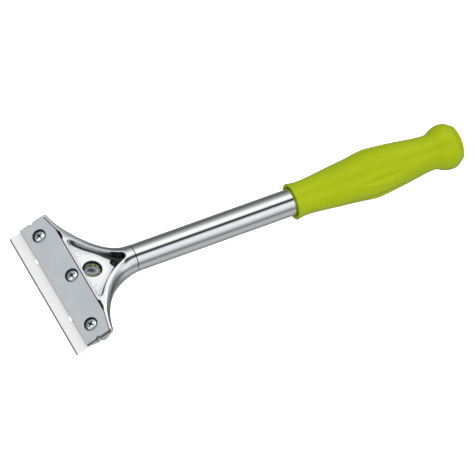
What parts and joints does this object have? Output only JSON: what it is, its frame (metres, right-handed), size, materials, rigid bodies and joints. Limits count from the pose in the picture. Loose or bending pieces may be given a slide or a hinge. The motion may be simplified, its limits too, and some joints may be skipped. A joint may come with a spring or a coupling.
{
  "type": "long-handled blade scraper",
  "caption": "Long-handled scraper: bent metal head with a clamped flat blade, chromed round tube and flared moulded grip.",
  "frame": {"origin": "on the tube's axis, at the seam between the head and the tube", "axes": "+X along the tube towards the grip, +Z towards the side with the clamp plate and screws, +Y along the blade"},
  "size_m": [0.3023, 0.1, 0.0332],
  "materials": {
    "casting": "polished chrome plating on a die casting",
    "badge": "polished plain disc",
    "blade": "bright ground steel",
    "plate": "satin nickel",
    "screw": "bright zinc",
    "tube": "polished chrome plating",
    "grip": "semi-gloss lime green"
  },
  "bodies": {
    "head": {"head_casting": "casting", "badge_disc": "badge", "handle_tube": "tube", "grip": "grip"},
    "clamp": {"clamp_plate": "plate"},
    "cutter": {"blade": "blade"},
    "screw_l": {"screw_left": "screw"},
    "screw_r": {"screw_right": "screw"},
    "screw_c": {"screw_centre": "screw"}
  },
  "joints": [
    {"name": "clamp_lift", "type": "slide", "parent": "head", "child": "clamp", "axis": [-0.4695, 0, 0.8829], "range_m": [0, 0.0014]},
    {"name": "blade_slide", "type": "slide", "parent": "head", "child": "cutter", "axis": [-0.8829, 0, -0.4695], "range_m": [0, 0.015]},
    {"name": "screw_left_turn", "type": "hinge", "parent": "clamp", "child": "screw_l", "pos_m": [-0.0488, 0.038, 0.00264], "axis": [-0.4695, 0, 0.8829], "range_deg": [0, 720]},
    {"name": "screw_right_turn", "type": "hinge", "parent": "clamp", "child": "screw_r", "pos_m": [-0.0488, -0.038, 0.00264], "axis": [-0.4695, 0, 0.8829], "range_deg": [0, 720]},
    {"name": "screw_centre_turn", "type": "hinge", "parent": "clamp", "child": "screw_c", "pos_m": [-0.04403, 0, 0.00517], "axis": [-0.4695, 0, 0.8829], "range_deg": [0, 720]}
  ],
  "couplings": [
    {"joint": "screw_left_turn", "follows": "clamp_lift", "rad_per_m": 8975.9},
    {"joint": "screw_right_turn", "follows": "clamp_lift", "rad_per_m": 8975.9},
    {"joint": "screw_centre_turn", "follows": "clamp_lift", "rad_per_m": 8975.9}
  ]
}
